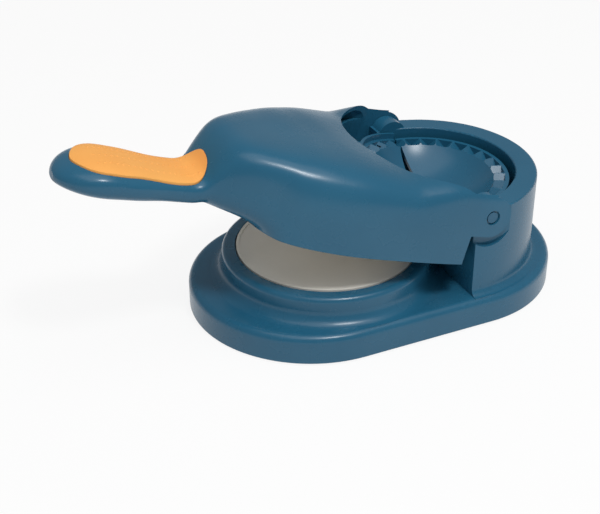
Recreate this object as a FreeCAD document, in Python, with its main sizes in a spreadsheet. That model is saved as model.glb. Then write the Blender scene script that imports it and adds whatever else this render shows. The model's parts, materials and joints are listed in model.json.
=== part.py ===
"""Dumpling maker: a press for round wrappers and a folding mould on one hinge.

Millimetres, +Z up, feet on z = 0, handle towards -X, hinge axis along Y.
The lid is built closed and then tilted open by rest_angle about the hinge.
"""
import FreeCAD
import Part
import math
import os
import re

SIZES = {
    # overall layout along X
    "tower_x": 67.29,
    "hinge_ahead": 5.0,
    "platform_gap": 3.5,
    "base_front_ahead": 10.0,
    "base_rear_behind": 6.0,
    "hinge_z": 61.1,
    "rest_angle": 16.0,
    # base shell
    "foot_height": 1.0,
    "base_margin": 6.0,
    "tower_wall": 11.8,
    "bore_gap": 0.9,
    "platform_margin": 8.0,
    "platform_rise": 14.8,
    "recess_depth": 2.6,
    "recess_margin": 5.5,
    "base_top": 16.5,
    "base_round": 4.0,
    "shell_wall": 2.5,
    "tower_flare": 4.0,
    "platform_flare": 7.0,
    "platform_round": 3.0,
    "tower_top": 65.3,
    "tower_round": 0.8,
    "tower_front": -4.5,
    "well_floor": 36.5,
    "knuckle_radius": 9.0,
    # bottom plate, feet and screws
    "bottom_plate": 2.5,
    "plate_gap": 0.4,
    "foot_radius": 8.0,
    "foot_inset": 24.0,
    "foot_reach": 24.5,
    "foot_seat": 1.0,
    "screw_radius": 1.5,
    "screw_head_radius": 2.9,
    "screw_head": 1.6,
    "screw_bite": 6.0,
    "boss_radius": 3.6,
    # press plates
    "press_radius": 49.0,
    "press_seat_gap": 0.8,
    "press_seat_depth": 3.0,
    "lower_plate_proud": 0.5,
    "plate_rim": 1.6,
    "plate_dish": 0.6,
    "press_gap": 1.2,
    "plate_screw_ring": 30.0,
    "plate_screw_bite": 2.4,
    # mould
    "mould_drop": 0.5,
    "fold_gap": 0.3,
    "bowl_rim": 38.0,
    "bowl_depth": 17.0,
    "mould_wall": 2.0,
    "mould_flange": 6.5,
    "rear_rim_radius": 45.3,
    "skirt_wall": 2.2,
    "collar_gap": 0.4,
    "collar_wall": 1.6,
    "collar_rise": 2.5,
    "pleat_count": 14.0,
    "pleat_width": 6.0,
    "pleat_start": 37.0,
    # hinge
    "pin_radius": 3.0,
    "pin_clearance": 0.05,
    "pin_cover": 0.8,
    "pin_sink": 0.9,
    "pin_groove": 1.6,
    "pin_bore_radius": 4.0,
    "ear_radius": 11.0,
    # lid
    "lid_proud": 0.4,
    "ear_gap": 0.4,
    "cutout_gap": 1.0,
    "cutout_lip": 2.6,
    "lid_wall": 2.0,
    "lid_rim_drop": 27.3,
    "lid_rear": 10.0,
    "handle_tip": 215.0,
    "grip_depth": 2.2,
    "grip_proud": 0.8,
    "grip_gap": 0.3,
    "grip_edge": 16.0,
    "grip_bed_gap": 0.3,
    # tray and cover inside the lid
    "tray_floor": 8.0,
    "tray_thick": 2.5,
    "tray_inset": 3.8,
    "tray_ledge": 9.0,
    "tray_wall": 2.0,
    "tray_rise": 6.0,
    "tray_gap": 0.4,
    "post_gap": 1.0,
    "cover_thick": 3.2,
    "cover_reach": 113.0,
}

# Sizes that follow from the ones above.
DERIVED = {
    "bore_radius": "rear_rim_radius + collar_gap + collar_wall + bore_gap",
    "tower_radius": "bore_radius + tower_wall",
    "base_radius": "tower_radius + base_margin",
    "platform_radius": "press_radius + platform_margin",
    "platform_top": "base_top + platform_rise",
    "press_seat_radius": "press_radius + press_seat_gap",
    "platform_x": "tower_x - platform_radius - platform_gap",
    "base_front_x": "platform_x - base_front_ahead",
    "base_rear_x": "tower_x + base_rear_behind",
    "hinge_x": "tower_x + hinge_ahead",
    "mirror_x": "hinge_x + hinge_ahead",
    "recess_face": "tower_radius - recess_depth",
    "recess_radius": "ear_radius + recess_margin",
    "ear_inner": "recess_face + ear_gap",
    "pin_inner": "bore_radius + pin_cover",
    "lid_half_width": "tower_radius + lid_proud",
    "cutout_radius": "tower_radius + cutout_gap",
    "cutout_side": "lid_half_width - cutout_lip",
    "tray_side": "lid_half_width - tray_inset",
    "tray_hole": "rear_rim_radius - tray_ledge",
    "mould_screw_ring": "rear_rim_radius - skirt_wall / 2 - 3",
    "base_screw_y": "base_radius - 10",
    "foot_y": "base_radius - foot_inset",
}

# Lid sections, each: distance ahead of the hinge, half width, height of the top
# over the hinge, height of the section's middle, squareness of the outline.
LID_STATIONS = (
    (-12.0, "lid_half_width - 0.4", 16.5, -25.0, 10.0),
    (20.0, "lid_half_width - 0.6", 17.0, -25.0, 9.5),
    (33.0, "lid_half_width - 1.2", 15.0, -25.0, 8.0),
    (45.0, "lid_half_width - 2.0", 13.6, -25.0, 6.2),
    (58.0, "lid_half_width - 3.1", 14.6, -25.0, 5.6),
    (72.0, "lid_half_width - 5.0", 15.6, -25.0, 5.3),
    (88.0, "lid_half_width - 9.3", 15.6, -25.0, 5.2),
    (101.0, "lid_half_width - 15.0", 14.9, -20.0, 5.0),
    (114.0, "36.4", 14.2, -7.5, 4.6),
    (124.0, "30.2", 13.4, -5.6, 4.2),
    (131.0, "25.4", 11.0, -6.2, 3.8),
    (136.0, "21.5", 6.2, -8.2, 3.4),
    (139.5, "19.3", 0.4, -10.8, 3.0),
    (142.5, "18.3", -5.4, -13.7, 2.8),
    (146.0, "17.9", -8.0, -15.2, 2.8),
    (152.0, "17.9", -8.6, -15.5, 2.8),
    (162.0, "19", -8.2, -15.0, 2.8),
    (178.0, "21.8", -6.2, -13.9, 2.8),
    (192.0, "22", -5.0, -13.3, 2.8),
    (201.0, "20", -6.0, -13.7, 2.6),
    (208.0, "15.6", -8.4, -14.5, 2.4),
    (212.5, "10", -11.2, -15.4, 2.2),
)
# Grip outline, each: distance ahead of the hinge and half width.
GRIP_OUTLINE = ((139.6, 0.0), (140.6, 8.0), (143.8, 13.2), (150.0, 15.2), (159.0, 16.0), (169.0, 16.7),
                (180.0, 17.7), (190.0, 18.2), (199.0, 15.6), (204.8, 8.6), (207.2, 0.0))

doc = FreeCAD.newDocument("dumpling_maker")
sheet = doc.addObject("Spreadsheet::Sheet", "Sizes")
for row, (alias, number) in enumerate(SIZES.items(), start=1):
    sheet.set("A%d" % row, alias)
    sheet.set("B%d" % row, str(number))
    sheet.setAlias("B%d" % row, alias)
doc.recompute()

UP = FreeCAD.Vector(0, 0, 1)
QUARTER_POINTS = 8
STATION_STEP = 9.0
LID_START = -12.0
LID_END = 124.0
GRIP_END = 212.5
CELLS = re.compile(r"\b(" + "|".join(sorted(SIZES, key=len, reverse=True)) + r")\b")
FOLLOWERS = re.compile(r"\b(" + "|".join(sorted(DERIVED, key=len, reverse=True)) + r")\b")


def spelled_out(text):
    """Expression with each derived size replaced by the sizes that it follows from."""
    while FOLLOWERS.search(text):
        text = FOLLOWERS.sub(lambda word: "(" + DERIVED[word.group(1)] + ")", text)
    return text


def size(text):
    """Number that an expression of sizes gives."""
    numbers = CELLS.sub(lambda word: repr(float(SIZES[word.group(1)])), spelled_out(text))
    return float(FreeCAD.Units.Quantity(numbers).Value)


def in_cells(text):
    """Expression as the document reads it, with its sizes taken from the sheet."""
    return CELLS.sub(r"Sizes.\1", spelled_out(text))


def bind(thing, **cells):
    """Bind properties of an object to expressions of sizes."""
    for name, text in cells.items():
        thing.setExpression(name, in_cells(text))


def place(thing, x, y, z):
    """Bind the three coordinates of an object's place."""
    for name, text in (("x", x), ("y", y), ("z", z)):
        thing.setExpression("Placement.Base." + name, in_cells(text))


def cylinder(radius, height, x, y, z, turn=None):
    """Cylinder along Z, or along the way that turn points it."""
    thing = doc.addObject("Part::Cylinder", "Cylinder")
    if turn is not None:
        thing.Placement.Rotation = turn
    bind(thing, Radius=radius, Height=height)
    place(thing, x, y, z)
    return thing


ALONG_Y = FreeCAD.Rotation(FreeCAD.Vector(1, 0, 0), -90)
ON_EDGE = FreeCAD.Rotation(FreeCAD.Vector(1, 0, 0), 45)


def block(x, y, z, length, width, height):
    """Box from its lowest corner and its three sizes."""
    thing = doc.addObject("Part::Box", "Box")
    bind(thing, Length=length, Width=width, Height=height)
    place(thing, x, y, z)
    return thing


def ball(radius, x, y, z):
    """Full sphere about a point."""
    thing = doc.addObject("Part::Sphere", "Sphere")
    bind(thing, Radius=radius)
    place(thing, x, y, z)
    return thing


def ring(big, small, x, z):
    """Torus about a vertical line on the middle plane."""
    thing = doc.addObject("Part::Torus", "Torus")
    bind(thing, Radius1=big, Radius2=small)
    place(thing, x, "0", z)
    return thing


def fuse(*things):
    """One solid from several that touch or overlap."""
    whole = doc.addObject("Part::MultiFuse", "Fuse")
    whole.Shapes = list(things)
    whole.Refine = True
    return whole


def cut(base, *tools):
    """Take each tool away from the base."""
    for tool in tools:
        rest = doc.addObject("Part::Cut", "Cut")
        rest.Base = base
        rest.Tool = tool
        rest.Refine = True
        base = rest
    return base


def common(*things):
    """What several solids share."""
    shared = doc.addObject("Part::MultiCommon", "Common")
    shared.Shapes = list(things)
    return shared


def group(things):
    """Separate solids kept together as one object."""
    bunch = doc.addObject("Part::Compound", "Compound")
    bunch.Links = list(things)
    return bunch


def rounded(thing, radius, wanted):
    """Round the edges of a finished solid that the test wanted picks."""
    doc.recompute()
    edges = [(number, size(radius), size(radius))
             for number, edge in enumerate(thing.Shape.Edges, start=1) if wanted(edge)]
    smooth = doc.addObject("Part::Fillet", "Fillet")
    smooth.Base = thing
    smooth.Edges = edges
    return smooth


def level(height):
    """Test for edges that lie whole at one height."""
    wanted = size(height)
    return lambda edge: max(abs(edge.BoundBox.ZMin - wanted), abs(edge.BoundBox.ZMax - wanted)) < 0.01


def stadium(radius, z, height):
    """Upright slab whose outline is two half circles joined by straight sides."""
    front = cylinder(radius, height, "base_front_x", "0", z)
    rear = cylinder(radius, height, "base_rear_x", "0", z)
    middle = block("base_front_x", "-(%s)" % radius, z,
                   "base_rear_x - base_front_x", "2 * (%s)" % radius, height)
    return fuse(front, rear, middle)


def flared(radius, x, flare):
    """Concave foot between a round wall and the top of the plinth, sunk into its rounded edge."""
    reach = "%s + %s" % (radius, flare)
    foot = cylinder(reach, "base_round + " + flare, x, "0", "base_top - base_round")
    return cut(foot, ring(reach, flare, x, "base_top + " + flare))


def screw(x, y, head_z, bite):
    """Screw driven upwards: flat head below head_z, shank above it."""
    head = cylinder("screw_head_radius", "screw_head", x, y, "%s - screw_head" % head_z)
    shank = cylinder("screw_radius", bite, x, y, head_z)
    return fuse(head, shank)


def pilot(x, y, z, bite):
    """Hole that takes a screw's shank."""
    return cylinder("screw_radius", bite, x, y, z)


def around(count, first, step):
    """Angles, in degrees, of a row around a centre."""
    return [first + step * number for number in range(count)]


BASE_SCREWS = [("base_front_x - base_radius + 10", "0"), ("base_rear_x + base_radius - 8", "0")] + [
    (x, "%d * base_screw_y" % side) for x in ("base_front_x", "tower_x - 17.5") for side in (-1, 1)]
PRESS_ANGLES = around(3, 60, 120)
REAR_ANGLES = around(3, -62, 62)
FLOOR_Z = "(platform_top - press_seat_depth)"


def polar(x, radius, angle):
    """Place on a circle about (x, 0), as two expressions."""
    turn = math.radians(angle)
    return "%s + %s * %.6f" % (x, radius, math.cos(turn)), "%s * %.6f" % (radius, math.sin(turn))


def make_base_shell():
    """Plinth, platform and tower, hollow from below."""
    plinth = rounded(stadium("base_radius", "foot_height", "base_top - foot_height"),
                     "base_round", level("base_top"))
    platform = rounded(cylinder("platform_radius", "platform_top - foot_height",
                                "platform_x", "0", "foot_height"),
                       "platform_round", level("platform_top"))
    tower = cut(cylinder("tower_radius", "tower_top - foot_height", "tower_x", "0", "foot_height"),
                cylinder("bore_radius", "tower_top", "tower_x", "0", "well_floor"))
    tower = fuse(rounded(tower, "tower_round", level("tower_top")),
                 flared("tower_radius", "tower_x", "tower_flare"))
    ahead = block("tower_x - 2 * tower_radius", "-tower_radius * 1.2", "base_top - base_round",
                  "2 * tower_radius + tower_front", "tower_radius * 2.4", "tower_top")
    body = fuse(plinth, platform, cut(tower, ahead),
                flared("platform_radius", "platform_x", "platform_flare"))
    knuckles = [cylinder("knuckle_radius", "recess_face - bore_radius + 0.5", "hinge_x", start,
                         "hinge_z", ALONG_Y)
                for start in ("bore_radius - 0.5", "-recess_face")]
    body = fuse(body, *knuckles)
    recesses = [cylinder("recess_radius", "tower_radius", "hinge_x", start, "hinge_z", ALONG_Y)
                for start in ("recess_face", "-recess_face - tower_radius")]
    seat = cylinder("press_seat_radius", "press_seat_depth + 1", "platform_x", "0", FLOOR_Z)
    body = cut(body, seat, *recesses)
    hollow = stadium("base_radius - shell_wall", "0", "base_top - shell_wall")
    drum = cylinder("platform_radius - shell_wall", FLOOR_Z + " - shell_wall", "platform_x", "0", "0")
    well = cut(cylinder("bore_radius", "well_floor - shell_wall", "tower_x", "0", "0"),
               block("tower_x - 2 * tower_radius", "-tower_radius", "0",
                     "2 * tower_radius + tower_front + shell_wall", "tower_radius * 2", "tower_top"))
    wall = cut(cylinder("tower_radius - shell_wall", "tower_top - 7", "tower_x", "0", "0"),
               cylinder("bore_radius + shell_wall", "tower_top", "tower_x", "0", "0"),
               block("tower_x - 2 * tower_radius", "-tower_radius", "0",
                     "2 * tower_radius + 22", "tower_radius * 2", "tower_top"))
    body = cut(body, hollow, drum, well, wall)
    bosses = [cylinder("boss_radius", "base_top - shell_wall / 2 - foot_height - bottom_plate",
                       x, y, "foot_height + bottom_plate") for x, y in BASE_SCREWS]
    body = fuse(body, *bosses)
    holes = [pilot(x, y, "foot_height + bottom_plate", "screw_bite") for x, y in BASE_SCREWS]
    holes += [pilot(*polar("platform_x", "plate_screw_ring", angle), FLOOR_Z + " - 2 * shell_wall",
                    "3 * shell_wall") for angle in PRESS_ANGLES]
    holes += [pilot(*polar("tower_x", "mould_screw_ring", angle), "well_floor - 2 * shell_wall",
                    "3 * shell_wall") for angle in REAR_ANGLES]
    pins = [cylinder("pin_radius", "tower_radius", "hinge_x", start, "hinge_z", ALONG_Y)
            for start in ("pin_inner", "-pin_inner - tower_radius")]
    return cut(body, group(holes), *pins)


def make_bottom_plate():
    """Plate inside the plinth's lower edge, with seats for the feet."""
    plate = stadium("base_radius - shell_wall - plate_gap", "foot_height", "bottom_plate")
    seats = [cylinder("foot_radius", "foot_seat", x, y, "foot_height") for x, y in foot_places().values()]
    heads = [cylinder("screw_head_radius", "screw_head", x, y, "foot_height") for x, y in BASE_SCREWS]
    holes = [pilot(x, y, "foot_height", "bottom_plate") for x, y in BASE_SCREWS]
    return cut(plate, group(seats), group(heads), group(holes))


def foot_places():
    """Centre of each foot, by its node name."""
    return {"foot_%s_%s" % (end, side): (x, "%s * foot_y" % way)
            for end, x in (("front", "base_front_x - foot_reach"), ("rear", "base_rear_x + foot_reach"))
            for side, way in (("left", "1"), ("right", "-1"))}


def make_base_plate_screws():
    """Screws that hold the bottom plate to the bosses, heads let in."""
    return group([screw(x, y, "foot_height + screw_head", "bottom_plate - screw_head + screw_bite - 1")
                  for x, y in BASE_SCREWS])


def make_press_plate(bottom, thick, holes_from_below):
    """White disc: a shallow dish with a thin rim on its working face."""
    disc = cylinder("press_radius", thick, "platform_x", "0", bottom)
    dish_z = "%s + %s - plate_dish" % (bottom, thick) if holes_from_below else bottom
    dish = cylinder("press_radius - plate_rim", "plate_dish", "platform_x", "0", dish_z)
    start = bottom if holes_from_below else "%s + %s - plate_screw_bite" % (bottom, thick)
    holes = [pilot(*polar("platform_x", "plate_screw_ring", angle), start, "plate_screw_bite")
             for angle in PRESS_ANGLES]
    return cut(disc, dish, group(holes))


LOWER_THICK = "(press_seat_depth + lower_plate_proud)"
UPPER_BOTTOM = "(platform_top + lower_plate_proud + press_gap)"
COVER_Z = "(hinge_z - lid_rim_drop + 2.8)"


MOULD_CENTRE = {1: "tower_x", -1: "mirror_x"}


def bowl(x, rim_z, grow):
    """Ball whose lower cap is the bowl of the mould, grown by a wall."""
    radius = "((bowl_rim^2 + bowl_depth^2) / (2 * bowl_depth))"
    return ball("%s + %s" % (radius, grow), x, "0", "%s - bowl_depth + %s" % (rim_z, radius))


def make_mould(side, foot_z, skirt_out, skirt_in, rise, angles):
    """Half of the folding mould on one side of the hinge, +1 rear or -1 front."""
    centre = MOULD_CENTRE[side]
    rim_z = "(hinge_z - mould_drop)"
    flange = cylinder(skirt_out, "mould_flange", centre, "0", rim_z + " - mould_flange")
    skirt = cut(cylinder(skirt_out, rim_z + " + %s - (%s)" % (rise, foot_z), centre, "0", foot_z),
                cylinder(skirt_in, "tower_top * 2", centre, "0", "0"))
    below = cylinder("bowl_rim + 1", "bowl_depth * 2", centre, "0", rim_z + " - bowl_depth * 2")
    dish = common(bowl(centre, rim_z, "mould_wall"), below)
    places = [polar(centre, "%d * mould_screw_ring" % side, angle) for angle in angles]
    bosses = [cylinder("boss_radius", rim_z + " - 1 - (%s)" % foot_z, x, y, foot_z) for x, y in places]
    body = cut(fuse(flange, skirt, dish, *bosses), bowl(centre, rim_z, "0"))
    pleats = []
    count = int(SIZES["pleat_count"])
    for number in range(count):
        angle = -90 + 180 * (number + 0.5) / count + (0 if side > 0 else 180)
        groove = block("0", "0", "0", "rear_rim_radius - skirt_wall - pleat_start", "pleat_width",
                       "pleat_width")
        groove.Placement.Rotation = FreeCAD.Rotation(UP, angle).multiply(ON_EDGE)
        place(groove, *polar(centre, "pleat_start", angle), rim_z + " - pleat_width * 0.707")
        pleats.append(groove)
    holes = [pilot(x, y, foot_z, "screw_bite") for x, y in places]
    keep = block("%s %s" % ("hinge_x", "+ fold_gap" if side > 0 else "- fold_gap - 2 * tower_radius"),
                 "-2 * tower_radius", "0", "2 * tower_radius", "4 * tower_radius", "tower_top * 2")
    return common(cut(body, group(pleats), group(holes)), keep)


def make_hinge_pin(side):
    """Pin held in the tower's post, running in the lid's ear."""
    start = "pin_inner" if side > 0 else "pin_sink - lid_half_width"
    return cylinder("pin_radius", "lid_half_width - pin_sink - pin_inner", "hinge_x", start,
                    "hinge_z", ALONG_Y)


def section(ahead, half_width, top, middle, power):
    """Closed curve across the lid: a superellipse in four quarters, in the plane at one distance."""
    x, z, tall = size("hinge_x") - ahead, size("hinge_z") + middle, top - middle
    quarters = []
    for quadrant in range(4):
        points = []
        for number in range(QUARTER_POINTS + 1):
            turn = math.pi / 2 * (quadrant + number / QUARTER_POINTS)
            side, rise = math.cos(turn), math.sin(turn)
            points.append(FreeCAD.Vector(
                x, half_width * math.copysign(abs(side) ** (2 / power), side) * (abs(side) > 1e-9),
                z + tall * math.copysign(abs(rise) ** (2 / power), rise) * (abs(rise) > 1e-9)))
        leave = FreeCAD.Rotation(FreeCAD.Vector(1, 0, 0), 90 * quadrant).multVec(UP)
        arrive = FreeCAD.Rotation(FreeCAD.Vector(1, 0, 0), 90 * quadrant + 90).multVec(UP)
        curve = Part.BSplineCurve()
        curve.interpolate(Points=points, InitialTangent=leave, FinalTangent=arrive)
        quarters.append(curve.toShape())
    return Part.Wire(quarters)


def lid_form(label, inset, stations):
    """Smooth solid through the lid's sections, drawn in by inset."""
    wires = [section(ahead, width - inset, top - inset, middle, power)
             for ahead, width, top, middle, power in stations]
    form = doc.addObject("Part::Feature", label)
    form.Shape = Part.makeLoft(wires, True, False)
    return form


def eased(places, values, place_wanted):
    """Value between stations: a cubic that keeps to each pair's range, so that nothing swells."""
    steps = [after - before for before, after in zip(places, places[1:])]
    rates = [(after - before) / step for before, after, step in zip(values, values[1:], steps)]
    leans = [rates[0]] + [2 * one * two / (one + two) if one * two > 0 else 0.0
                          for one, two in zip(rates, rates[1:])] + [rates[-1]]
    at = max(number for number in range(len(steps)) if places[number] <= place_wanted or number == 0)
    part = (place_wanted - places[at]) / steps[at]
    return ((1 + 2 * part) * (1 - part) ** 2 * values[at] + part * (1 - part) ** 2 * steps[at] * leans[at]
            + part ** 2 * (3 - 2 * part) * values[at + 1]
            + part ** 2 * (part - 1) * steps[at] * leans[at + 1])


def lid_stations(first, last):
    """Sections of the lid from one distance to another, close enough together for a steady surface."""
    rows = [(ahead, size(width), top, middle, power) for ahead, width, top, middle, power in LID_STATIONS]
    rows.append((SIZES["handle_tip"], 3.0, -14.6, -16.2, 2.0))
    columns = list(zip(*rows))
    marks = [ahead for ahead in columns[0] if first <= ahead <= last]
    between = [before + (after - before) * number / count
               for before, after in zip(marks, marks[1:])
               for count in [math.ceil((after - before) / STATION_STEP)] for number in range(count)]
    return [(ahead, *(eased(columns[0], column, ahead) for column in columns[1:]))
            for ahead in between + marks[-1:]]


def grip_prism(grow):
    """Upright solid on the outline of the grip, grown by a clearance."""
    line = [FreeCAD.Vector(size("hinge_x") - ahead, side * (half + (grow if half else 0)), 0)
            for side, rows in ((1, GRIP_OUTLINE), (-1, GRIP_OUTLINE[-2:0:-1])) for ahead, half in rows]
    line[0].x += grow
    line[len(GRIP_OUTLINE) - 1].x -= grow
    curve = Part.BSplineCurve()
    curve.interpolate(line, PeriodicFlag=True)
    prism = doc.addObject("Part::Feature", "GripPrism")
    prism.Shape = Part.Face(Part.Wire([curve.toShape()])).extrude(UP * 100)
    return prism


RIM_Z = "(hinge_z - lid_rim_drop)"
LID_BOSSES = [("platform_x - 9", "%d * (lid_half_width - 18.4)" % side) for side in (-1, 1)] + [
    ("platform_x - 44", "%d * 18" % side) for side in (-1, 1)]
TRAY_POSTS = [("mirror_x - cutout_radius + 4", "%d * 13" % side) for side in (-1, 1)] + [
    ("hinge_x - 22", "%d * (tray_side - 5)" % side) for side in (-1, 1)]


def make_lid_shell():
    """Lid with handle, ears and cut-out, open below."""
    outer = lid_form("LidOuter", 0, lid_stations(LID_START, SIZES["handle_tip"]))
    inner_rows = lid_stations(LID_START, LID_END)
    inner = lid_form("LidInner", SIZES["lid_wall"], inner_rows)
    middle = lid_form("LidMiddle", SIZES["lid_wall"] / 2, inner_rows)
    below = block("-200", "-100", "-100", "400", "200", "100 + " + RIM_Z)
    mouth = common(cylinder("cutout_radius", "60", "mirror_x", "0", "hinge_z - tray_floor"),
                   block("0", "-cutout_side", "0", "200", "2 * cutout_side", "200"))
    rear_low = block("hinge_x - lid_rear", "-100", "-50", "100", "200", "50 + hinge_z - ear_radius")
    rear_high = block("hinge_x", "-100", "-50", "100", "200", "250")
    body = cut(outer, inner, below, mouth, rear_low, rear_high)
    bosses = [common(cylinder("boss_radius", "60", x, y, COVER_Z + " + cover_thick"), middle)
              for x, y in LID_BOSSES]
    ears = [common(outer, cylinder("ear_radius", "20", "hinge_x", start, "hinge_z", ALONG_Y))
            for start in ("ear_inner", "-ear_inner - 20")]
    body = fuse(body, *bosses, *ears)
    runs = [cylinder("pin_radius + pin_clearance", "20", "hinge_x", start, "hinge_z", ALONG_Y)
            for start in ("ear_inner - 1", "1 - ear_inner - 20")]
    sinks = [cylinder("pin_bore_radius", "20", "hinge_x", start, "hinge_z", ALONG_Y)
             for start in ("lid_half_width - pin_groove", "pin_groove - lid_half_width - 20")]
    holes = [pilot(x, y, COVER_Z + " + cover_thick", "screw_bite") for x, y in LID_BOSSES]
    bed = SIZES["grip_depth"] + SIZES["grip_bed_gap"]
    core = lid_form("GripCore", bed, lid_stations(LID_END, GRIP_END))
    trench = cut(grip_prism(SIZES["grip_gap"]), core)
    upper = block("-200", "-50", "hinge_z - grip_edge", "400", "100", "100")
    plate_room = cylinder("press_seat_radius", "1 + %s - %s" % (COVER_Z, UPPER_BOTTOM), "platform_x", "0",
                          UPPER_BOTTOM + " - 1")
    return cut(body, group(holes), common(trench, upper), plate_room, *runs, *sinks)


def make_grip():
    """Soft inlay let into the top of the handle."""
    skin = lid_form("GripSkin", -SIZES["grip_proud"], lid_stations(LID_END, GRIP_END))
    core = lid_form("GripBed", SIZES["grip_depth"], lid_stations(LID_END, GRIP_END))
    upper = block("-200", "-50", "hinge_z - grip_edge", "400", "100", "100")
    return common(cut(skin, core), grip_prism(0.0), upper)


def make_tray():
    """Tray under the cut-out: floor, round wall and posts down to the cover."""
    floor_z = "hinge_z - tray_floor - tray_thick"
    pan = cut(cylinder("cutout_radius + tray_wall", "tray_floor + tray_thick + tray_rise", "mirror_x", "0",
                       floor_z),
              cylinder("cutout_radius", "60", "mirror_x", "0", "hinge_z - tray_floor"),
              cylinder("tray_hole", "60", "mirror_x", "0", "hinge_z - 40"))
    ahead = block("-200", "-tray_side", "0", "200 + hinge_x - fold_gap", "2 * tray_side", "200")
    posts_room = [block("hinge_x - lid_rear - post_gap", start, "0", "100", "50", "200")
                  for start in ("bore_radius - post_gap", "post_gap - bore_radius - 50")]
    legs = [cylinder("boss_radius", "hinge_z - tray_floor - (%s + cover_thick)" % COVER_Z, x, y,
                     COVER_Z + " + cover_thick") for x, y in TRAY_POSTS]
    body = fuse(cut(common(pan, ahead), *posts_room), *legs)
    holes = [pilot(x, y, COVER_Z + " + cover_thick", "screw_bite") for x, y in TRAY_POSTS]
    holes += [pilot(*polar("mirror_x", "-1 * mould_screw_ring", angle), floor_z, "tray_thick")
              for angle in REAR_ANGLES]
    return cut(body, group(holes))


def make_cover():
    """Plate that closes the lid from below and carries the upper press plate."""
    inside = lid_form("CoverLimit", SIZES["lid_wall"] + SIZES["tray_gap"], lid_stations(LID_START, LID_END))
    slab = block("hinge_x - cover_reach", "-100", COVER_Z, "cover_reach - lid_rear - post_gap", "200",
                 "cover_thick")
    holes = [pilot(x, y, COVER_Z, "cover_thick") for x, y in LID_BOSSES + TRAY_POSTS]
    holes += [cylinder("screw_head_radius", "screw_head", x, y, COVER_Z) for x, y in LID_BOSSES + TRAY_POSTS]
    holes += [pilot(*polar("platform_x", "plate_screw_ring", angle), COVER_Z, "cover_thick")
              for angle in PRESS_ANGLES]
    return cut(common(slab, inside), group(holes))


def tilted(thing):
    """Turn a lid piece from closed to its rest pose about the hinge."""
    thing.Placement = FreeCAD.Placement(
        FreeCAD.Vector(0, 0, 0), FreeCAD.Rotation(FreeCAD.Vector(0, 1, 0), SIZES["rest_angle"]),
        FreeCAD.Vector(size("hinge_x"), 0, size("hinge_z")))
    return thing


def press_screws(z, turn_up):
    """Three screws of a press plate, driven up or down."""
    places = [polar("platform_x", "plate_screw_ring", angle) for angle in PRESS_ANGLES]
    return group([screw(x, y, z, "shell_wall + plate_screw_bite - 0.4") if turn_up else
                  fuse(cylinder("screw_head_radius", "screw_head", x, y, z),
                       cylinder("screw_radius", "cover_thick + plate_screw_bite - 0.4", x, y,
                                "%s - (cover_thick + plate_screw_bite - 0.4)" % z))
                  for x, y in places])


def cover_screws(places):
    """Screws through the cover of the lid, heads let in."""
    return group([screw(x, y, COVER_Z + " + screw_head", "cover_thick - screw_head + screw_bite - 1")
                  for x, y in places])


front_out = "(rear_rim_radius + collar_gap + collar_wall)"
front_in = "(rear_rim_radius + collar_gap)"
floor_under = "hinge_z - tray_floor - tray_thick"
NODES = {
    "base_shell": make_base_shell(),
    "base_bottom_plate": make_bottom_plate(),
    "base_plate_screws": make_base_plate_screws(),
    "lower_press_plate": make_press_plate(FLOOR_Z, LOWER_THICK, True),
    "lower_plate_screws": press_screws(FLOOR_Z + " - shell_wall", True),
    "rear_mould_half": make_mould(1, "well_floor", "rear_rim_radius", "(rear_rim_radius - skirt_wall)",
                                  "0", REAR_ANGLES),
    "rear_mould_screws": group([screw(*polar("tower_x", "mould_screw_ring", angle),
                                      "well_floor - shell_wall", "shell_wall + screw_bite - 1")
                                for angle in REAR_ANGLES]),
    "hinge_pin_left": make_hinge_pin(1),
    "hinge_pin_right": make_hinge_pin(-1),
}
for node, (foot_at_x, foot_at_y) in foot_places().items():
    NODES[node] = cylinder("foot_radius", "foot_height + foot_seat", foot_at_x, foot_at_y, "0")
LID_NODES = {
    "lid_shell": make_lid_shell(),
    "grip_inlay": make_grip(),
    "mould_carrier": make_tray(),
    "carrier_screws": cover_screws(TRAY_POSTS),
    "front_mould_half": make_mould(-1, "hinge_z - tray_floor", front_out, front_in,
                                   "mould_drop + collar_rise", REAR_ANGLES),
    "front_mould_screws": group([screw(*polar("mirror_x", "-1 * mould_screw_ring", angle), floor_under,
                                       "tray_thick + 3") for angle in REAR_ANGLES]),
    "lid_under_cover": make_cover(),
    "under_cover_screws": cover_screws(LID_BOSSES),
    "upper_press_plate": make_press_plate(UPPER_BOTTOM, "%s - %s" % (COVER_Z, UPPER_BOTTOM), False),
    "upper_plate_screws": press_screws(COVER_Z + " + cover_thick", False),
}
doc.recompute()
for piece in LID_NODES.values():
    tilted(piece)
NODES.update(LID_NODES)
doc.recompute()

faulty = [(thing.Name, thing.TypeId) for thing in doc.Objects
          if "Invalid" in thing.State or "Error" in thing.State
          or (hasattr(thing, "Shape") and thing.Shape.isNull())]
if faulty:
    raise RuntimeError("not built: %s" % faulty)

os.makedirs("parts", exist_ok=True)
for node, piece in NODES.items():
    piece.Label = node
    if "Invalid" in piece.State or "Error" in piece.State or piece.Shape.isNull():
        raise RuntimeError("%s was not built: %s" % (node, piece.State))
    if not piece.Shape.isValid() or not piece.Shape.Solids:
        raise RuntimeError("%s is not a valid solid" % node)
    piece.Shape.exportStep("parts/%s.step" % node)
    print(node, len(piece.Shape.Solids), "solids,", round(piece.Shape.Volume), "mm3")
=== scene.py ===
# %% [markdown]
# # A dumpling maker
# The press flattens a ball of dough between two white plates under the lid. The wrapper is then
# laid over the round mould in the tower, and the lid swings right over and folds it shut.
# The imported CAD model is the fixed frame: every piece below sits on it and moves with its bodies.

# %% Load the frame
import json
import math

import bpy
import numpy as np
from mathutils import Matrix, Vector
from mathutils.bvhtree import BVHTree


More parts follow.
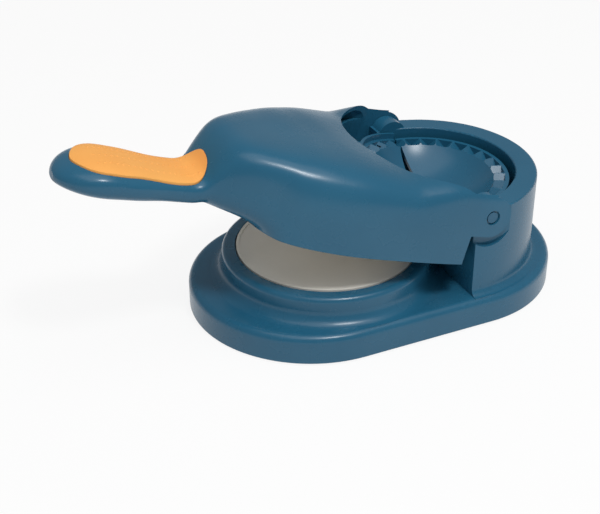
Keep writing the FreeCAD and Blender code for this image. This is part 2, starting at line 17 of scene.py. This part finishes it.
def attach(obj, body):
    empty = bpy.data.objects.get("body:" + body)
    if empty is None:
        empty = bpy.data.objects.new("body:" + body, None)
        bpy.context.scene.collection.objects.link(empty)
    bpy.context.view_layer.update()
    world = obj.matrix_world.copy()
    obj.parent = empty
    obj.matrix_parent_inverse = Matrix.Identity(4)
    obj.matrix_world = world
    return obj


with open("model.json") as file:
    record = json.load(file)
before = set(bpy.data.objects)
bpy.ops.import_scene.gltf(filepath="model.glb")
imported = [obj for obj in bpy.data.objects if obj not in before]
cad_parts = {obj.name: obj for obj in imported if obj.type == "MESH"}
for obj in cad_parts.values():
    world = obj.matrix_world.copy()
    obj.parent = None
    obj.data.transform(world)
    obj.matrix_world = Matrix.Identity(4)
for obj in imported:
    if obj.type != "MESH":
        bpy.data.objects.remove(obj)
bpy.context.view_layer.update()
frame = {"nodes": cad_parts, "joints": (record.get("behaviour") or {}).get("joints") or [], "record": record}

MM = 0.001

# %% [markdown]
# ## Where things are
# The lid turns on two pins. Its joint gives the axis, so places on the lid are written as
# distances ahead of the pins, out to the side and above them, in the lid's own closed position,
# and then turned by the angle that the lid stands open at rest.

# %% The lid's own coordinates
HINGE = np.array(frame["joints"][0]["pos_m"])
REST_OPEN = math.radians(16.0)


def on_lid(ahead, side, above):
    """Points of the lid: straight ahead of the pins, sideways and above them, tilted by REST_OPEN."""
    ahead, side, above = np.broadcast_arrays(ahead, side, above)
    forward = np.array([-math.cos(REST_OPEN), 0.0, math.sin(REST_OPEN)])
    upward = np.array([math.sin(REST_OPEN), 0.0, math.cos(REST_OPEN)])
    across = np.array([0.0, 1.0, 0.0])
    return HINGE + ahead[..., None] * forward + side[..., None] * across + above[..., None] * upward


print("pins at", HINGE)

# %% [markdown]
# ## Materials
# Colours are written as they look on a screen and turned to the linear values that the renderer
# counts in. One small function adds a node, sets its inputs and links it.

# %% Colour and node helpers


def linear(hex_colour):
    """Linear RGBA from an sRGB hex colour, by the sRGB curve."""
    channels = np.array([int(hex_colour[start:start + 2], 16) for start in (1, 3, 5)]) / 255
    curved = np.where(channels <= 0.04045, channels / 12.92, ((channels + 0.055) / 1.055) ** 2.4)
    return (*curved.tolist(), 1.0)


def add_node(tree, kind, settings=None, **inputs):
    """Add a node. Settings are its own properties; inputs are values, or sockets to link from."""
    node = tree.nodes.new(kind)
    for name, value in (settings or {}).items():
        setattr(node, name, value)
    for name, value in inputs.items():
        socket = node.inputs[name.replace("_", " ")]
        if isinstance(value, bpy.types.NodeSocket):
            tree.links.new(value, socket)
        else:
            socket.default_value = value
    return node


def new_material(name):
    """Empty material with its tree, its shader and Object coordinates."""
    material = bpy.data.materials.new(name)
    material.use_nodes = True
    tree = material.node_tree
    shader = tree.nodes["Principled BSDF"]
    place = tree.nodes.new("ShaderNodeTexCoord").outputs["Object"]
    return material, tree, shader, place


def per_mm(width_mm):
    """Noise scale whose features are about width_mm wide, in Object coordinates of metres."""
    return 1 / (width_mm * MM)


CLOUD_MM = 45.0
SMEAR_MM = 14.0
GRAIN_STRENGTH = 0.25


def moulded(name, dark, light, grain_mm, bump_mm, rough, roughness_spread, ior):
    """Moulded plastic: cloudy colour, uneven gloss and the fine grain of the steel mould."""
    material, tree, shader, place = new_material(name)
    cloud = add_node(tree, "ShaderNodeTexNoise", Vector=place, Scale=per_mm(CLOUD_MM), Detail=3.0)
    colour = add_node(tree, "ShaderNodeValToRGB", Fac=cloud.outputs["Fac"])
    colour.color_ramp.elements[0].color = linear(dark)
    colour.color_ramp.elements[1].color = linear(light)
    colour.color_ramp.elements[0].position = 0.3
    colour.color_ramp.elements[1].position = 0.7
    smear = add_node(tree, "ShaderNodeTexNoise", Vector=place, Scale=per_mm(SMEAR_MM), Detail=4.0)
    gloss = add_node(tree, "ShaderNodeMapRange", Value=smear.outputs["Fac"],
                     To_Min=rough - roughness_spread, To_Max=rough + roughness_spread)
    grain = add_node(tree, "ShaderNodeTexNoise", Vector=place, Scale=per_mm(grain_mm), Detail=2.0)
    relief = add_node(tree, "ShaderNodeBump", Height=grain.outputs["Fac"], Strength=GRAIN_STRENGTH,
                      Distance=bump_mm * MM)
    tree.links.new(colour.outputs["Color"], shader.inputs["Base Color"])
    tree.links.new(gloss.outputs["Result"], shader.inputs["Roughness"])
    tree.links.new(relief.outputs["Normal"], shader.inputs["Normal"])
    shader.inputs["IOR"].default_value = ior
    return material


# %% [markdown]
# The body is injection-moulded ABS in a deep blue with a satin face and soft highlights.
# The press plates are white polypropylene, a little warmer and smoother. The grip is a soft
# elastomer moulded into the handle, matt and slightly powdery.

# %% Finishes
blue_abs = moulded("satin_blue_abs", "#205E7C", "#276482", 0.9, 0.02, 0.27, 0.03, 1.45)
pin_abs = moulded("pin_blue_abs", "#205A78", "#265F7D", 0.9, 0.02, 0.30, 0.03, 1.45)
white_pp = moulded("white_polypropylene", "#E9E5DC", "#F0ECE4", 1.2, 0.015, 0.33, 0.04, 1.49)
orange_tpe = moulded("soft_orange_elastomer", "#FFAE55", "#FFB860", 0.5, 0.03, 0.58, 0.05, 1.48)
foot_rubber = moulded("black_foot_rubber", "#26282A", "#303234", 0.7, 0.05, 0.75, 0.05, 1.5)


def zinc_steel():
    """Zinc-plated screw steel: metallic, with the fine turning marks of the head."""
    material, tree, shader, place = new_material("zinc_plated_steel")
    marks = add_node(tree, "ShaderNodeTexNoise", Vector=place, Scale=per_mm(0.8), Detail=3.0)
    gloss = add_node(tree, "ShaderNodeMapRange", Value=marks.outputs["Fac"], To_Min=0.28, To_Max=0.46)
    shade = add_node(tree, "ShaderNodeValToRGB", Fac=marks.outputs["Fac"])
    shade.color_ramp.elements[0].color = linear("#A9ABAE")
    shade.color_ramp.elements[1].color = linear("#C4C5C6")
    tree.links.new(shade.outputs["Color"], shader.inputs["Base Color"])
    tree.links.new(gloss.outputs["Result"], shader.inputs["Roughness"])
    shader.inputs["Metallic"].default_value = 1.0
    return material


screw_steel = zinc_steel()
FINISHES = {"blue_plastic": blue_abs, "pin_plastic": pin_abs, "white_plastic": white_pp,
            "orange_grip": orange_tpe, "foot_rubber": foot_rubber, "steel": screw_steel}
SLOT_OF = {row["node"]: row["material_slot"] for row in frame["record"]["subparts"]}
for node, slot in SLOT_OF.items():
    shown = frame["nodes"][node]
    shown.data.materials.clear()
    shown.data.materials.append(FINISHES[slot])
print("finished", len(SLOT_OF), "nodes")

# %% [markdown]
# ## The grip's dots
# Three rows of small raised dots run along the soft grip. Each dot is a low dome that stands on the
# grip's own surface, so every place is dropped straight onto the CAD mesh first.

# %% Raised dots
DOT_RADIUS = 0.75 * MM
DOT_HEIGHT = 0.4 * MM
DOT_SINK = 0.1 * MM
DOT_TOP_TILT = 0.15
DROP_FROM = 30.0 * MM
DOT_ROWS = np.array([-9.0, 0.0, 9.0]) * MM
DOT_COLUMNS = np.linspace(144.0, 196.5, 18) * MM
RINGS = 3
SEGMENTS = 8


def dropped(node, ahead, side):
    """Points and normals where lines straight down in the lid's frame meet a node's mesh."""
    shown = frame["nodes"][node]
    tree = BVHTree.FromObject(shown, bpy.context.evaluated_depsgraph_get())
    down = on_lid(np.array(0.0), np.array(0.0), np.array(-1.0)) - HINGE
    starts = on_lid(ahead, side, np.full_like(ahead, DROP_FROM))
    hits = [tree.ray_cast(Vector(start), Vector(down)) for start in starts]
    return np.array([hit[0] for hit in hits]), np.array([hit[1] for hit in hits])


def domes(points, normals):
    """Low domes: p(u, v) = c + R sin(u) (cos(v) a + sin(v) b) + (H cos(u) - s) n, with 0 <= u <= pi/2."""
    along = np.array([1.0, 0.0, 0.0]) - normals[:, :1] * normals
    along /= np.linalg.norm(along, axis=1, keepdims=True)
    across = np.cross(normals, along)
    tilt, turn = np.meshgrid(np.linspace(DOT_TOP_TILT, math.pi / 2, RINGS),
                             np.arange(SEGMENTS) * 2 * math.pi / SEGMENTS, indexing="ij")
    flat = DOT_RADIUS * np.sin(tilt)[None, ..., None]
    rise = (DOT_HEIGHT * np.cos(tilt) - DOT_SINK)[None, ..., None]
    spots = (points[:, None, None] + flat * (np.cos(turn)[None, ..., None] * along[:, None, None]
                                             + np.sin(turn)[None, ..., None] * across[:, None, None])
             + rise * normals[:, None, None])
    index = np.arange(spots[..., 0].size).reshape(spots.shape[:3])
    following = np.roll(index, -1, axis=2)
    walls = np.stack([index[:, :-1], index[:, 1:], following[:, 1:], following[:, :-1]], axis=-1)
    caps = [row.tolist() for row in index[:, 0]]
    return spots.reshape(-1, 3), walls.reshape(-1, 4).tolist() + caps


columns, rows = (grid.ravel() for grid in np.meshgrid(DOT_COLUMNS, DOT_ROWS))
dot_points, dot_faces = domes(*dropped("grip_inlay", columns, rows))
dot_mesh = bpy.data.meshes.new("grip_dots")
dot_mesh.from_pydata(dot_points.tolist(), [], dot_faces)
dot_mesh.shade_smooth()
dot_mesh.materials.append(orange_tpe)
dots = bpy.data.objects.new("grip_dots", dot_mesh)
bpy.context.collection.objects.link(dots)
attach(dots, "lid")
print("dots:", len(columns), "faces:", len(dot_faces))

# %% [markdown]
# ## Floor, light and camera
# A pale floor and world, a small key lamp high in front and a wide one overhead. The camera stands
# where the picture was taken from: its angle, its distance and its lens were fitted to the edges
# of the plates, the tower and the base.

# %% Floor and world
FLOOR_SIZE = 6.0
WHITE_SHARE = 0.88
SKY_STRENGTH = 0.3
floor_mesh = bpy.data.meshes.new("floor")
half = FLOOR_SIZE / 2
floor_mesh.from_pydata([(-half, -half, 0), (half, -half, 0), (half, half, 0), (-half, half, 0)], [],
                       [(0, 1, 2, 3)])
floor = bpy.data.objects.new("floor", floor_mesh)
bpy.context.collection.objects.link(floor)
paper, paper_tree, paper_shader, _ = new_material("white_paper_floor")
paper_shader.inputs["Base Color"].default_value = linear("#F7F7F7")
paper_shader.inputs["Roughness"].default_value = 0.9
rays = add_node(paper_tree, "ShaderNodeLightPath").outputs
seen = add_node(paper_tree, "ShaderNodeMath", {"operation": "MAXIMUM"})
paper_tree.links.new(rays["Is Camera Ray"], seen.inputs[0])
paper_tree.links.new(rays["Is Glossy Ray"], seen.inputs[1])
share = add_node(paper_tree, "ShaderNodeMath", {"operation": "MULTIPLY"})
paper_tree.links.new(seen.outputs["Value"], share.inputs[0])
share.inputs[1].default_value = WHITE_SHARE
glow = add_node(paper_tree, "ShaderNodeEmission", Strength=1.0)
blend = add_node(paper_tree, "ShaderNodeMixShader", Fac=share.outputs["Value"])
paper_tree.links.new(paper_shader.outputs["BSDF"], blend.inputs[1])
paper_tree.links.new(glow.outputs["Emission"], blend.inputs[2])
paper_tree.links.new(blend.outputs["Shader"],
                     paper_tree.nodes["Material Output"].inputs["Surface"])
floor_mesh.materials.append(paper)

world = bpy.data.worlds.new("studio")
bpy.context.scene.world = world
world.use_nodes = True
sky = world.node_tree.nodes["Background"]
sky.inputs["Color"].default_value = (1.0, 1.0, 1.0, 1.0)
sky.inputs["Strength"].default_value = SKY_STRENGTH


# %% Lamps
def soft_lamp(name, place, aim, size, watts):
    """Square area lamp at a place, turned to its aim."""
    lamp = bpy.data.lights.new(name, "AREA")
    lamp.size = size
    lamp.energy = watts
    holder = bpy.data.objects.new(name, lamp)
    holder.location = place
    holder.rotation_euler = (Vector(aim) - Vector(place)).to_track_quat("-Z", "Y").to_euler()
    bpy.context.collection.objects.link(holder)


soft_lamp("key", place=(0.06, -0.55, 1.13), aim=(0.0, 0.0, 0.05), size=0.20, watts=5.4)
soft_lamp("overhead", place=(0.0, -0.35, 1.6), aim=(0.0, 0.0, 0.0), size=1.6, watts=10.0)

# %% Camera
AZIMUTH = math.radians(-25.35)
ELEVATION = math.radians(30.85)
DISTANCE = 686.2 * MM
TARGET = Vector((-9.1, 0.0, 26.3)) * MM
FOCAL_PIXELS = 1270.0
IMAGE_WIDTH = 600.0
back = Vector((math.sin(AZIMUTH) * math.cos(ELEVATION), -math.cos(AZIMUTH) * math.cos(ELEVATION),
               math.sin(ELEVATION)))
lens = bpy.data.cameras.new("camera")
lens.sensor_fit = "HORIZONTAL"
lens.sensor_width = 36.0
lens.lens = FOCAL_PIXELS / IMAGE_WIDTH * lens.sensor_width
camera = bpy.data.objects.new("camera", lens)
camera.location = TARGET + back * DISTANCE
camera.rotation_euler = (-back).to_track_quat("-Z", "Y").to_euler()
bpy.context.collection.objects.link(camera)
bpy.context.scene.camera = camera
bpy.context.scene.view_settings.view_transform = "Standard"
